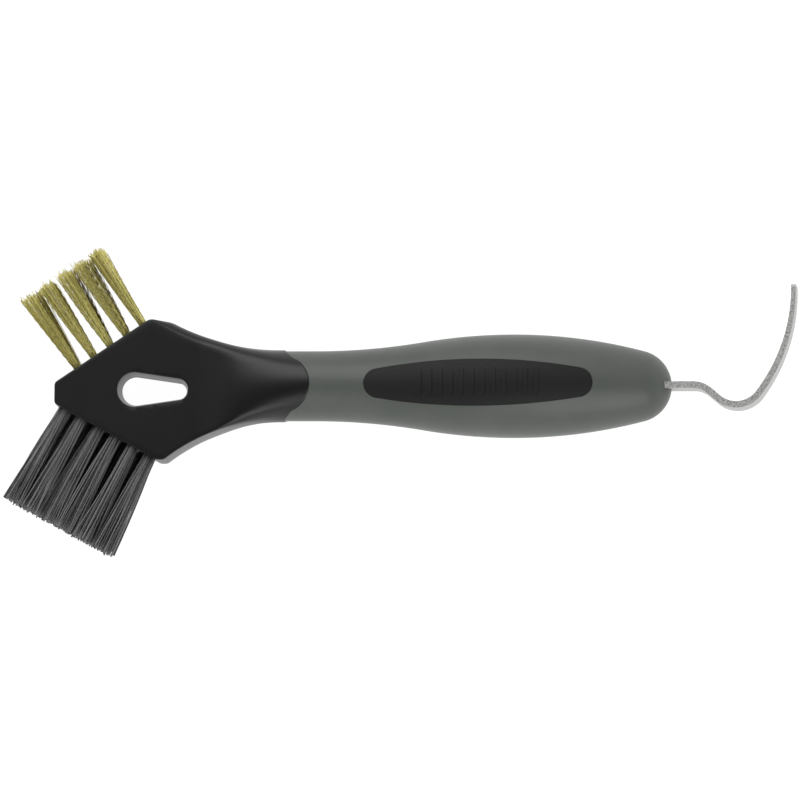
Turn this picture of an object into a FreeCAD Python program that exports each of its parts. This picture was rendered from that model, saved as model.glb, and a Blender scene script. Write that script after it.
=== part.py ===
import FreeCAD, Part
import math
import os

import Sketcher

V = FreeCAD.Vector
doc = FreeCAD.newDocument("cleaning_brush")

# ---------------------------------------------------------------- driving dimensions
# Lengths in millimetres, angles in degrees. While the tool is drawn, X runs along it with zero at
# the butt of the handle and the head on the minus side, Y points to the brass side, and Z is up
# from the middle plane. Offsets called "from_butt" are distances along minus X.
SIZES = {
    # handle
    "belly_from_butt": 45.7,
    "belly_radius": 15.05,
    "belly_arc_radius": 160.0,
    "neck_from_butt": 103.7,
    "neck_radius": 10.2,
    "dome_radius": 10.5,
    "depth_share": 0.83,
    "spigot_end_from_butt": 130.0,
    "spigot_radius": 6.4,
    # head
    "head_thickness": 12.0,
    "tip_from_butt": 179.3,
    "tip_top": 0.7,
    "tip_bottom": 5.8,
    "brass_face_angle": 34.0,
    "brass_face_length": 33.3,
    "nylon_face_angle": 28.6,
    "nylon_face_length": 34.4,
    "brass_land_length": 6.5,
    "brass_land_angle": 9.0,
    "nylon_land_length": 2.0,
    "brass_side_radius": 67.5,
    "nylon_side_radius": 54.6,
    "head_skin_proud": 0.3,
    "corner_round": 1.4,
    "rim_round": 1.0,
    "tongue_tip_from_butt": 104.7,
    "tongue_radius": 8.3,
    "tongue_root_from_butt": 112.8,
    "hang_big_from_butt": 155.9,
    "hang_big_radius": 5.0,
    "hang_small_from_butt": 143.5,
    "hang_small_radius": 3.2,
    "hang_drop": 1.55,
    # grip inlays
    "inlay_start_from_butt": 22.2,
    "inlay_length": 66.7,
    "inlay_width": 13.6,
    "inlay_end_radius": 4.3,
    "inlay_depth": 1.6,
    "inlay_proud": 0.15,
    "rib_count": 12,
    "rib_pitch": 3.1,
    "rib_width": 1.3,
    "rib_length": 7.6,
    "rib_height": 0.35,
    # hook
    "strip_width": 9.5,
    "strip_thickness": 1.9,
    "strip_tip_thickness": 1.3,
    "tang_length": 45.0,
    "shank_length": 6.5,
    "first_bend_radius": 7.3,
    "first_bend_angle": 40.2,
    "ramp_length": 3.3,
    "bowl_radius": 8.1,
    "bowl_angle": 93.6,
    "pick_radius": 50.2,
    "pick_angle": 38.7,
    "pick_tip_round": 0.9,
    # tufts
    "row_spacing": 5.6,
    "hole_depth": 6.0,
    "brass_count": 5,
    "brass_pitch": 5.68,
    "brass_stagger": 0.0,
    "brass_first": 7.8,
    "brass_root_radius": 1.15,
    "brass_tip_radius": 2.7,
    "brass_length": 25.3,
    "nylon_count": 6,
    "nylon_pitch": 5.72,
    "nylon_stagger": 0.5,
    "nylon_first": 2.95,
    "nylon_root_radius": 1.75,
    "nylon_tip_radius": 2.7,
    "nylon_length": 29.6,
    "anchor_thickness": 0.4,
    "anchor_height": 1.8,
    "anchor_bite": 0.6,
    # clearances
    "brass_tip_gap": 0.33,
    "nylon_tip_gap": 0.15,
    "row_tip_gap": 0.2,
    "moulding_gap": 0.05,
}

sheet = doc.addObject("Spreadsheet::Sheet", "Sizes")
for row, (alias, number) in enumerate(SIZES.items(), start=1):
    sheet.set(f"A{row}", alias)
    sheet.set(f"B{row}", str(number))
    sheet.setAlias(f"B{row}", alias)
doc.recompute()


def size(alias):
    """The number that the sheet holds under this name."""
    return float(sheet.get(alias))


# ---------------------------------------------------------------- small helpers
def bound(kind, name, **expressions):
    """Add an object whose properties follow the sheet; __ in a keyword stands for a dot."""
    made = doc.addObject(kind, name)
    for path, expression in expressions.items():
        made.setExpression(path.replace("__", "."), expression)
    return made


def combine(kind, name, first, second):
    """A boolean of two objects: Part::Cut, Part::Common or Part::Fuse."""
    made = doc.addObject(kind, name)
    made.Base = first
    made.Tool = second
    return made


def join(name, parts):
    """One solid from several that overlap or touch."""
    made = doc.addObject("Part::MultiFuse", name)
    made.Shapes = parts
    return made


class Outline:
    """A closed or open sketch on the middle plane, each of whose sizes follows the sheet."""

    def __init__(self, name):
        self.sketch = doc.addObject("Sketcher::SketchObject", name)

    def line(self, start, end):
        return self.sketch.addGeometry(Part.LineSegment(V(*start, 0), V(*end, 0)), False)

    def arc(self, centre, radius, start_angle, end_angle):
        circle = Part.Circle(V(*centre, 0), V(0, 0, 1), radius)
        turned = Part.ArcOfCircle(circle, math.radians(start_angle), math.radians(end_angle))
        return self.sketch.addGeometry(turned, False)

    def hold(self, *constraint):
        return self.sketch.addConstraint(Sketcher.Constraint(*constraint))

    def drive(self, expression, *constraint):
        """A dimension that follows the sheet; the last argument is its first value."""
        index = self.hold(*constraint)
        self.sketch.setExpression(f"Constraints[{index}]", expression)
        return index


def extrude_both_ways(name, sketch, thickness):
    """A plate from an outline, half of it on each side of the middle plane."""
    plate = bound("Part::Extrusion", name, LengthFwd=thickness)
    plate.Base = sketch
    plate.DirMode = "Custom"
    plate.Dir = V(0, 0, 1)
    plate.Symmetric = True
    plate.Solid = True
    return plate


def lying(kind, name, start, **expressions):
    """A round primitive whose axis runs from a place on the X axis towards the head."""
    made = bound(kind, name, Placement__Base__x=start, **expressions)
    made.Placement = FreeCAD.Placement(V(0, 0, 0), FreeCAD.Rotation(V(0, 1, 0), -90))
    seated = doc.addObject("Part::Compound", name + "InPlace")
    seated.Links = [made]
    return seated


def oval(name, round_body, offset="0"):
    """A round body squeezed to the handle's oval section, its skin moved out by the offset."""
    grown = f"(Sizes.belly_radius + {offset}) / Sizes.belly_radius"
    made = bound("Part::Scale", name, YScale=grown, ZScale=f"Sizes.depth_share * {grown}")
    made.Base = round_body
    made.Uniform = False
    made.XScale = 1.0
    return made


# ---------------------------------------------------------------- handle: the turned body
def handle_profile():
    """Half profile of the handle: domed butt, belly and neck, arcs that run into each other."""
    belly_x = -size("belly_from_butt")
    belly = size("belly_radius")
    neck_x = -size("neck_from_butt")
    neck = size("neck_radius")
    dome = size("dome_radius")
    front_arc = size("belly_arc_radius")
    end_x = -size("spigot_end_from_butt")

    # the rear belly arc touches the dome from inside: its radius follows from that
    rear_arc = (belly_x**2 + belly**2 + 2 * belly_x * dome) / (2 * (belly - dome))
    rear_centre = (belly_x, belly - rear_arc)
    dome_centre = (-dome, 0.0)
    rise = math.degrees(math.atan2(dome_centre[1] - rear_centre[1], dome_centre[0] - rear_centre[0]))
    # neck and front belly arcs touch each other: the sum of their radii follows from that
    run = belly_x - neck_x
    drop = belly - neck
    both_radii = (run**2 + drop**2) / (2 * drop)
    neck_arc = both_radii - front_arc
    turn = math.degrees(math.asin(run / both_radii))

    outline = Outline("HandleProfile")
    axis = outline.line((end_x, 0), (0, 0))
    dome_edge = outline.arc(dome_centre, dome, 0, rise)
    rear = outline.arc(rear_centre, rear_arc, rise, 90)
    front = outline.arc((belly_x, belly - front_arc), front_arc, 90, 90 + turn)
    waist = outline.arc((neck_x, neck + neck_arc), neck_arc, 270, 270 + turn)
    sleeve = outline.line((neck_x, neck), (end_x, neck))
    end = outline.line((end_x, neck), (end_x, 0))

    outline.hold("Coincident", axis, 2, -1, 1)
    outline.hold("Horizontal", axis)
    outline.hold("Coincident", dome_edge, 1, axis, 2)
    outline.hold("PointOnObject", dome_edge, 3, -1)
    outline.hold("Tangent", dome_edge, 2, rear, 1)
    outline.hold("Coincident", rear, 2, front, 1)
    outline.hold("Vertical", rear, 3, rear, 2)
    outline.hold("Vertical", front, 3, front, 1)
    outline.hold("Tangent", front, 2, waist, 2)
    outline.hold("Tangent", waist, 1, sleeve, 1)
    outline.hold("Horizontal", sleeve)
    outline.hold("Coincident", sleeve, 2, end, 1)
    outline.hold("Vertical", end)
    outline.hold("Coincident", end, 2, axis, 1)
    outline.drive("Sizes.dome_radius", "Radius", dome_edge, dome)
    outline.drive("Sizes.belly_from_butt", "DistanceX", rear, 2, -1, 1, -belly_x)
    outline.drive("Sizes.belly_radius", "DistanceY", -1, 1, rear, 2, belly)
    outline.drive("Sizes.belly_arc_radius", "Radius", front, front_arc)
    outline.drive("Sizes.neck_from_butt", "DistanceX", waist, 1, -1, 1, -neck_x)
    outline.drive("Sizes.neck_radius", "DistanceY", -1, 1, waist, 1, neck)
    outline.drive("Sizes.spigot_end_from_butt", "DistanceX", end, 2, -1, 1, -end_x)
    return outline.sketch


turned = doc.addObject("Part::Revolution", "TurnedHandle")
turned.Source = handle_profile()
turned.Axis = V(1, 0, 0)
turned.Base = V(0, 0, 0)
turned.Angle = 360
turned.Solid = True

handle_body = oval("HandleBody", turned)


# ---------------------------------------------------------------- where the head laps the neck
def tongue_outline(name, shift):
    """Plan of the black skirt: a round tongue along the neck, its root square across the sides."""
    tip = -size("tongue_tip_from_butt") - shift
    radius = size("tongue_radius")
    root = -size("tongue_root_from_butt") - shift
    half = 2 * size("belly_radius")
    far = -2 * size("tip_from_butt")
    centre = tip - radius
    reach = math.sqrt(radius**2 - (root - centre) ** 2)
    spread = math.degrees(math.atan2(reach, root - centre))

    outline = Outline(name)
    tongue = outline.arc((centre, 0), radius, -spread, spread)
    upper = outline.line((root, reach), (root, half))
    top = outline.line((root, half), (far, half))
    back = outline.line((far, half), (far, -half))
    bottom = outline.line((far, -half), (root, -half))
    lower = outline.line((root, -half), (root, -reach))
    ring = [tongue, upper, top, back, bottom, lower]
    for piece, following in zip(ring, ring[1:] + ring[:1]):
        outline.hold("Coincident", piece, 2, following, 1)
    outline.hold("PointOnObject", tongue, 3, -1)
    for piece in (upper, back, lower):
        outline.hold("Vertical", piece)
    for piece in (top, bottom):
        outline.hold("Horizontal", piece)
    gap = "+ Sizes.moulding_gap" if shift else ""
    outline.drive("Sizes.tongue_radius", "Radius", tongue, radius)
    outline.drive(
        f"Sizes.tongue_tip_from_butt + Sizes.tongue_radius {gap}",
        "DistanceX", tongue, 3, -1, 1, -centre)
    outline.drive(f"Sizes.tongue_root_from_butt {gap}", "DistanceX", upper, 1, -1, 1, -root)
    outline.drive("2 * Sizes.tip_from_butt", "DistanceX", back, 1, -1, 1, -far)
    outline.drive("2 * Sizes.belly_radius", "DistanceY", -1, 1, top, 1, half)
    outline.drive("2 * Sizes.belly_radius", "DistanceY", bottom, 1, -1, 1, half)
    return outline.sketch


handle_step = extrude_both_ways("HandleStep", tongue_outline("StepPlan", 0), "4 * Sizes.belly_radius")
skirt_plan = tongue_outline("SkirtPlan", size("moulding_gap"))
skirt_zone = extrude_both_ways("SkirtZone", skirt_plan, "4 * Sizes.belly_radius")


def spigot(name, gap):
    """The round nose of the handle that the head is moulded over."""
    start = "(Sizes.tongue_tip_from_butt - Sizes.tongue_radius / 2)"
    nose = lying("Part::Cylinder", name, f"-{start}", Radius=f"Sizes.spigot_radius + {gap}",
                 Height=f"Sizes.spigot_end_from_butt + {gap} - {start}")
    return oval(name + "Oval", nose)


handle_nose = spigot("HandleNose", "0 * Sizes.moulding_gap")
head_socket = spigot("HeadSocket", "Sizes.moulding_gap")


# ---------------------------------------------------------------- grip inlays
def inlay_outline(name, grow):
    """Long oval: two shallow arcs along the sides and a rounder end at each end."""
    start = -size("inlay_start_from_butt") + grow
    half_length = size("inlay_length") / 2 + grow
    half_width = size("inlay_width") / 2 + grow
    end = size("inlay_end_radius") + grow
    middle = start - half_length
    # each side arc touches both end arcs from inside
    run = half_length - end
    side = (run**2 + half_width**2 - end**2) / (2 * (half_width - end))
    lean = math.degrees(math.atan2(side - half_width, run))
    gap = "+ Sizes.moulding_gap" if grow else ""

    outline = Outline(name)
    top = outline.arc((middle, half_width - side), side, lean, 180 - lean)
    head_end = outline.arc((middle - run, 0), end, 180 - lean, 180 + lean)
    bottom = outline.arc((middle, side - half_width), side, 180 + lean, 360 - lean)
    butt_end = outline.arc((middle + run, 0), end, -lean, lean)
    ring = [top, head_end, bottom, butt_end]
    for piece, following in zip(ring, ring[1:] + ring[:1]):
        outline.hold("Tangent", piece, 2, following, 1)
    outline.hold("PointOnObject", head_end, 3, -1)
    outline.hold("PointOnObject", butt_end, 3, -1)
    outline.drive(f"Sizes.inlay_end_radius {gap}", "Radius", head_end, end)
    outline.drive(f"Sizes.inlay_end_radius {gap}", "Radius", butt_end, end)
    outline.drive("Sizes.inlay_start_from_butt + Sizes.inlay_end_radius",
                  "DistanceX", butt_end, 3, -1, 1, -(middle + run))
    outline.drive("Sizes.inlay_length - 2 * Sizes.inlay_end_radius",
                  "DistanceX", head_end, 3, butt_end, 3, 2 * run)
    side_rule = ("(({run})^2 + ({half})^2 - ({end})^2) / (2 * (({half}) - ({end})))").format(
        run="Sizes.inlay_length / 2 - Sizes.inlay_end_radius",
        half=f"Sizes.inlay_width / 2 {gap}",
        end=f"Sizes.inlay_end_radius {gap}")
    outline.drive(side_rule, "Radius", top, side)
    outline.drive(side_rule, "Radius", bottom, side)
    return outline.sketch


def column(name, sketch, upward):
    """A prism from the middle plane out past the handle's skin, on the front or the back."""
    made = bound("Part::Extrusion", name, LengthFwd="2 * Sizes.belly_radius")
    made.Base = sketch
    made.DirMode = "Custom"
    made.Dir = V(0, 0, 1 if upward else -1)
    made.Solid = True
    return made


inlay_plan = inlay_outline("InlayPlan", 0)
recess_plan = inlay_outline("RecessPlan", size("moulding_gap"))
inlay_skin = oval("InlaySkin", turned, "Sizes.inlay_proud")
rib_skin = oval("RibSkin", turned, "Sizes.inlay_proud + Sizes.rib_height")
recess_floor = oval("RecessFloor", turned, "(-Sizes.inlay_depth)")
inlay_floor = oval("InlayFloor", turned, "(Sizes.moulding_gap - Sizes.inlay_depth)")


def rib_bars(side, upward):
    """A row of plain cross ribs over the middle of an inlay, still reaching down to its core."""
    bars = []
    for number in range(int(size("rib_count"))):
        along = (f"-Sizes.inlay_start_from_butt - Sizes.inlay_length / 2 - Sizes.rib_width / 2"
                 f" + ({number} - (Sizes.rib_count - 1) / 2) * Sizes.rib_pitch")
        bar = bound("Part::Box", f"RibBar{side}{number}", Length="Sizes.rib_width",
                    Width="Sizes.rib_length", Height="2 * Sizes.belly_radius",
                    Placement__Base__x=along, Placement__Base__y="-Sizes.rib_length / 2")
        if not upward:
            bar.setExpression("Placement.Base.z", "-2 * Sizes.belly_radius")
        bars.append(bar)
    return join(f"RibBars{side}", bars)


def grip_inlay(label, side, upward):
    """A soft inlay that fills its recess, follows the oval skin and carries raised ribs."""
    core = combine("Part::Common", f"InlayCore{side}", column(f"InlayColumn{side}", inlay_plan, upward),
                   inlay_skin)
    ribs = combine("Part::Common", f"Ribs{side}", rib_bars(side, upward), rib_skin)
    raised = join(f"RibbedInlay{side}", [core, ribs])
    inlay = combine("Part::Cut", f"Inlay{side}", raised, inlay_floor)
    inlay.Label = label
    return inlay


inlay_front = grip_inlay("grip_inlay_front", "Front", True)
inlay_back = grip_inlay("grip_inlay_back", "Back", False)


def recess(side, upward):
    """What the handle loses to make room for an inlay."""
    return combine("Part::Cut", f"Recess{side}", column(f"RecessColumn{side}", recess_plan, upward),
                   recess_floor)


# ---------------------------------------------------------------- hook
def tapered_strip():
    """The bent strip as a flat plate standing on its edge: each bend is an arc about one centre."""
    bends = [("first_bend", -1), ("bowl", 1), ("pick", 1)]
    half_root = size("strip_thickness") / 2
    half_tip = size("strip_tip_thickness") / 2
    place = V(size("shank_length"), 0, 0)
    heading = 0.0
    left = [V(-size("tang_length"), half_root, 0), V(place.x, half_root, 0)]
    right = [V(-size("tang_length"), -half_root, 0), V(place.x, -half_root, 0)]
    left_edges = [Part.LineSegment(*left).toShape()]
    right_edges = [Part.LineSegment(*right).toShape()]

    def normal(angle):
        return V(-math.sin(math.radians(angle)), math.cos(math.radians(angle)), 0)

    def advance(edges, points, middle, finish):
        """One more edge along a side of the strip: straight with no middle, else an arc."""
        if middle is None:
            edges.append(Part.LineSegment(points[-1], finish).toShape())
        else:
            edges.append(Part.Arc(points[-1], middle, finish).toShape())
        points.append(finish)

    for bend, way in bends:
        radius = size(f"{bend}_radius")
        angle = size(f"{bend}_angle")
        centre = place + normal(heading) * (way * radius)
        half_end = half_tip if bend == "pick" else half_root
        for side, edges, points in ((1, left_edges, left), (-1, right_edges, right)):
            spots = []
            for share in (0.5, 1.0):
                direction = normal(heading + way * angle * share)
                half = half_root + (half_end - half_root) * share
                spots.append(centre - direction * (way * radius) + direction * (side * half))
            advance(edges, points, *spots)
        heading += way * angle
        place = centre - normal(heading) * (way * radius)
        if bend == "first_bend":
            ahead = V(math.cos(math.radians(heading)), math.sin(math.radians(heading)), 0)
            place = place + ahead * size("ramp_length")
            advance(left_edges, left, None, left[-1] + ahead * size("ramp_length"))
            advance(right_edges, right, None, right[-1] + ahead * size("ramp_length"))
    tip_edge = Part.LineSegment(left[-1], right[-1]).toShape()
    root_edge = Part.LineSegment(right[0], left[0]).toShape()
    outline = Part.Wire(Part.__sortEdges__(left_edges + right_edges + [tip_edge, root_edge]))
    width = size("strip_width")
    strip = Part.Face(outline).extrude(V(0, 0, width))
    strip.translate(V(0, 0, -width / 2))
    return strip, place.y


strip_shape, pick_height = tapered_strip()
strip = doc.addObject("Part::Feature", "BentStrip")
strip.Shape = strip_shape

# the pick's end is rounded across its width: everything outside a round-topped shield is cut off
shield_round = size("pick_tip_round")
shield = Part.makeBox(2 * size("tip_from_butt"), 2 * size("tip_from_butt"), size("strip_width"),
                      V(-size("tip_from_butt"), pick_height - 2 * size("tip_from_butt"),
                        -size("strip_width") / 2))
top_edges = [edge for edge in shield.Edges
             if edge.BoundBox.XLength > size("tip_from_butt")
             and abs(edge.CenterOfMass.y - pick_height) < 1e-6]
tip_shield = doc.addObject("Part::Feature", "TipShield")
tip_shield.Shape = shield.makeFillet(shield_round, top_edges)
hook = combine("Part::Common", "Hook", strip, tip_shield)
hook.Label = "steel_hook"

tang_slot = bound(
    "Part::Box", "TangSlot",
    Length="Sizes.tang_length + Sizes.shank_length + Sizes.moulding_gap",
    Width="Sizes.strip_thickness + 2 * Sizes.moulding_gap",
    Height="Sizes.strip_width + 2 * Sizes.moulding_gap",
    Placement__Base__x="-Sizes.tang_length - Sizes.moulding_gap",
    Placement__Base__y="-Sizes.strip_thickness / 2 - Sizes.moulding_gap",
    Placement__Base__z="-Sizes.strip_width / 2 - Sizes.moulding_gap")

# ---------------------------------------------------------------- handle: finished
stepped = combine("Part::Cut", "SteppedHandle", handle_body, handle_step)
nosed = join("NosedHandle", [stepped, handle_nose])
hollows = join("HandleHollows", [tang_slot, recess("Front", True), recess("Back", False)])
handle = combine("Part::Cut", "Handle", nosed, hollows)
handle.Label = "handle"


# ---------------------------------------------------------------- tufts and their anchors
def tuft_faces():
    """For each kind: the corner its face starts from, the way along it, and the way it points."""
    tip = "-Sizes.tip_from_butt"
    return {
        "brass": (tip, "Sizes.tip_top", "Sizes.brass_face_angle", 1, "Sizes.brass_face_angle"),
        "nylon": (tip, "-Sizes.tip_bottom", "Sizes.nylon_face_angle", -1,
                  "180 - Sizes.nylon_face_angle"),
    }


def steps_along(kind, number, row):
    """How many pitches a tuft stands from the first of the front row; the back row is shifted."""
    return f"{number}" if row > 0 else f"({number} + Sizes.{kind}_stagger)"


def put_on_face(piece, kind, number, row):
    """Bind a piece whose own Y axis points out of the face to its place in the row."""
    corner_x, corner_y, angle, rise, turn = tuft_faces()[kind]
    along = f"(Sizes.{kind}_first + {steps_along(kind, number, row)} * Sizes.{kind}_pitch)"
    piece.Placement = FreeCAD.Placement(V(0, 0, 0), FreeCAD.Rotation(V(0, 0, 1), 30))
    piece.setExpression("Placement.Base.x", f"{corner_x} + {along} * cos({angle} * 1 deg)")
    piece.setExpression("Placement.Base.y", f"{corner_y} + {rise} * {along} * sin({angle} * 1 deg)")
    piece.setExpression("Placement.Base.z", f"{row} * Sizes.row_spacing / 2")
    piece.setExpression("Placement.Rotation.Angle", f"({turn}) * 1 deg")


OUTWARD = FreeCAD.Rotation(V(1, 0, 0), -90)


def lean_flare(flare, kind, number, row):
    """Point a flare from its root to its tip, with the tips a gap apart each way.

    Tips that need more room than the holes leave fan out along the row and across the rows; tips
    that just fit stand square on the face.
    """
    rise = tuft_faces()[kind][3]
    steps = f"({steps_along(kind, number, row)} - (Sizes.{kind}_count - 1) / 2)"
    reach = f"Sizes.{kind}_length"
    wide = f"2 * Sizes.{kind}_tip_radius"
    along = f"({rise} * {steps} * ({wide} + Sizes.{kind}_tip_gap - Sizes.{kind}_pitch))"
    across = f"({row} * ({wide} + Sizes.row_tip_gap - Sizes.row_spacing) / 2)"
    square = f"sqrt({reach} * {reach} + {along} * {along})"
    turn = f"90 deg - atan({across} / {square})"
    flare.setExpression(
        "Placement",
        f"placement(vector(0; 0; 0); rotation(vector(-{reach}; {along}; 0); {turn}))")


def tuft_tools(kind, number, row, name):
    """Anchor, hole and bristle bundle of one tuft, all placed on the face."""
    root = f"Sizes.{kind}_root_radius"
    anchor = bound("Part::Box", f"Anchor{name}", Length=f"2 * ({root} + Sizes.anchor_bite)",
                   Width="Sizes.anchor_height", Height="Sizes.anchor_thickness",
                   Placement__Base__x=f"-({root} + Sizes.anchor_bite)",
                   Placement__Base__y="-Sizes.hole_depth",
                   Placement__Base__z="-Sizes.anchor_thickness / 2")
    hole = bound("Part::Cylinder", f"Hole{name}", Radius=root, Height="2 * Sizes.hole_depth",
                 Placement__Base__y="-Sizes.hole_depth")
    shank = bound("Part::Cylinder", f"Root{name}", Radius=root, Height="Sizes.hole_depth",
                  Placement__Base__y="-Sizes.hole_depth")
    flare = bound("Part::Cone", f"Flare{name}", Radius1=root, Radius2=f"Sizes.{kind}_tip_radius",
                  Height=f"Sizes.{kind}_length")
    for piece in (hole, shank):
        piece.Placement = FreeCAD.Placement(piece.Placement.Base, OUTWARD)
    lean_flare(flare, kind, number, row)
    bundle = join(f"Bundle{name}", [shank, flare])
    seat = join(f"Seat{name}", [hole, anchor])
    cut_bundle = combine("Part::Cut", f"Tuft{name}", bundle, anchor)
    return anchor, seat, cut_bundle


tufts = []
seats = []
anchor_sets = {}
for kind in ("brass", "nylon"):
    placed_anchors = []
    for row_name, row in (("front", 1), ("back", -1)):
        # a shifted back row has no room for its last tuft
        spare = math.ceil(size(f"{kind}_stagger")) if row < 0 else 0
        for number in range(int(size(f"{kind}_count")) - spare):
            name = f"{kind.title()}{row_name.title()}{number + 1}"
            anchor, seat, tuft = tuft_tools(kind, number, row, name)
            put_on_face(seat, kind, number, row)
            put_on_face(tuft, kind, number, row)
            held = doc.addObject("Part::Compound", f"Held{name}")
            held.Links = [anchor]
            put_on_face(held, kind, number, row)
            tuft.Label = f"{kind}_tuft_{row_name}_{number + 1}"
            tufts.append(tuft)
            seats.append(seat)
            placed_anchors.append(held)
    group = doc.addObject("Part::Compound", f"{kind.title()}Anchors")
    group.Links = placed_anchors
    group.Label = f"{kind}_tuft_anchors"
    anchor_sets[kind] = group


# ---------------------------------------------------------------- head
def head_outline():
    """Plan of the forked plate: blunt tip, two brush faces, and hollow sides down to the neck."""
    tip = -size("tip_from_butt")
    skin = size("neck_radius") + size("head_skin_proud")
    root = -size("tongue_tip_from_butt") - size("tongue_radius") / 2

    def walk(start, length, angle):
        turn = math.radians(angle)
        return (start[0] + length * math.cos(turn), start[1] + length * math.sin(turn))

    tip_high = (tip, size("tip_top"))
    tip_low = (tip, -size("tip_bottom"))
    brass_end = walk(tip_high, size("brass_face_length"), size("brass_face_angle"))
    nylon_end = walk(tip_low, size("nylon_face_length"), -size("nylon_face_angle"))
    high_start = walk(brass_end, size("brass_land_length"), -size("brass_land_angle"))
    low_start = walk(nylon_end, size("nylon_land_length"), 0)

    def side_arc(start, radius, sign):
        """An arc from the shoulder that ends level with the neck; its centre and start angle."""
        rise = abs(start[1]) - skin
        run = math.sqrt(2 * radius * rise - rise**2)
        centre = (start[0] + run, sign * (skin + radius))
        angle = math.degrees(math.atan2(start[1] - centre[1], start[0] - centre[0]))
        return centre, angle % 360

    high_radius = size("brass_side_radius")
    low_radius = size("nylon_side_radius")
    high_centre, high_angle = side_arc(high_start, high_radius, 1)
    low_centre, low_angle = side_arc(low_start, low_radius, -1)

    outline = Outline("HeadPlan")
    blunt = outline.line(tip_low, tip_high)
    brass_face = outline.line(tip_high, brass_end)
    high_land = outline.line(brass_end, high_start)
    high_side = outline.arc(high_centre, high_radius, high_angle, 270)
    high_neck = outline.line((high_centre[0], skin), (root, skin))
    neck_end = outline.line((root, skin), (root, -skin))
    low_neck = outline.line((root, -skin), (low_centre[0], -skin))
    low_side = outline.arc(low_centre, low_radius, 90, low_angle)
    low_land = outline.line(low_start, nylon_end)
    nylon_face = outline.line(nylon_end, tip_low)

    outline.hold("Coincident", blunt, 2, brass_face, 1)
    outline.hold("Coincident", brass_face, 2, high_land, 1)
    outline.hold("Coincident", high_land, 2, high_side, 1)
    outline.hold("Tangent", high_side, 2, high_neck, 1)
    outline.hold("Coincident", high_neck, 2, neck_end, 1)
    outline.hold("Coincident", neck_end, 2, low_neck, 1)
    outline.hold("Tangent", low_neck, 2, low_side, 1)
    outline.hold("Coincident", low_side, 2, low_land, 1)
    outline.hold("Coincident", low_land, 2, nylon_face, 1)
    outline.hold("Coincident", nylon_face, 2, blunt, 1)
    outline.hold("Vertical", blunt)
    outline.hold("Vertical", neck_end)
    outline.hold("Horizontal", high_neck)
    outline.hold("Horizontal", low_neck)
    outline.hold("Horizontal", low_land)
    outline.drive("Sizes.tip_from_butt", "DistanceX", blunt, 2, -1, 1, -tip)
    outline.drive("Sizes.tip_top", "DistanceY", -1, 1, blunt, 2, tip_high[1])
    outline.drive("Sizes.tip_bottom", "DistanceY", blunt, 1, -1, 1, -tip_low[1])
    outline.drive("Sizes.brass_face_length", "Distance", brass_face, size("brass_face_length"))
    outline.drive("Sizes.brass_face_angle * 1 deg", "Angle", brass_face,
                  math.radians(size("brass_face_angle")))
    outline.drive("Sizes.brass_land_length", "Distance", high_land, size("brass_land_length"))
    outline.drive("-Sizes.brass_land_angle * 1 deg", "Angle", high_land,
                  -math.radians(size("brass_land_angle")))
    outline.drive("Sizes.brass_side_radius", "Radius", high_side, high_radius)
    outline.drive("Sizes.nylon_face_length", "Distance", nylon_face, size("nylon_face_length"))
    outline.drive("(180 - Sizes.nylon_face_angle) * 1 deg", "Angle", nylon_face,
                  math.radians(180 - size("nylon_face_angle")))
    outline.drive("Sizes.nylon_land_length", "Distance", low_land, size("nylon_land_length"))
    outline.drive("Sizes.nylon_side_radius", "Radius", low_side, low_radius)
    outline.drive("Sizes.neck_radius + Sizes.head_skin_proud", "DistanceY", -1, 1, high_neck, 2, skin)
    outline.drive("Sizes.neck_radius + Sizes.head_skin_proud", "DistanceY", low_neck, 1, -1, 1, skin)
    outline.drive("Sizes.tongue_tip_from_butt + Sizes.tongue_radius / 2",
                  "DistanceX", neck_end, 1, -1, 1, -root)
    return outline.sketch


def hang_outline():
    """Teardrop: a large round end towards the tip, a small one towards the neck, straight sides."""
    big_x = -size("hang_big_from_butt")
    small_x = -size("hang_small_from_butt")
    big = size("hang_big_radius")
    small = size("hang_small_radius")
    drop = -size("hang_drop")
    lean = math.degrees(math.acos((big - small) / (small_x - big_x)))

    def on(centre_x, radius, angle):
        turn = math.radians(angle)
        return (centre_x + radius * math.cos(turn), drop + radius * math.sin(turn))

    outline = Outline("HangPlan")
    big_end = outline.arc((big_x, drop), big, lean, 360 - lean)
    under = outline.line(on(big_x, big, -lean), on(small_x, small, -lean))
    small_end = outline.arc((small_x, drop), small, -lean, lean)
    over = outline.line(on(small_x, small, lean), on(big_x, big, lean))
    ring = [big_end, under, small_end, over]
    for piece, following in zip(ring, ring[1:] + ring[:1]):
        outline.hold("Tangent", piece, 2, following, 1)
    outline.hold("Horizontal", big_end, 3, small_end, 3)
    outline.drive("Sizes.hang_drop", "DistanceY", big_end, 3, -1, 1, -drop)
    outline.drive("Sizes.hang_big_from_butt", "DistanceX", big_end, 3, -1, 1, -big_x)
    outline.drive("Sizes.hang_small_from_butt", "DistanceX", small_end, 3, -1, 1, -small_x)
    outline.drive("Sizes.hang_big_radius", "Radius", big_end, big)
    outline.drive("Sizes.hang_small_radius", "Radius", small_end, small)
    return outline.sketch


def round_edges(name, base, edges, alias):
    """Round some edges of a solid by a radius of the sheet; edges are numbered from one."""
    made = doc.addObject("Part::Fillet", name)
    made.Base = base
    made.Edges = [(number, size(alias), size(alias)) for number in edges]
    doc.recompute()
    return made


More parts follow.
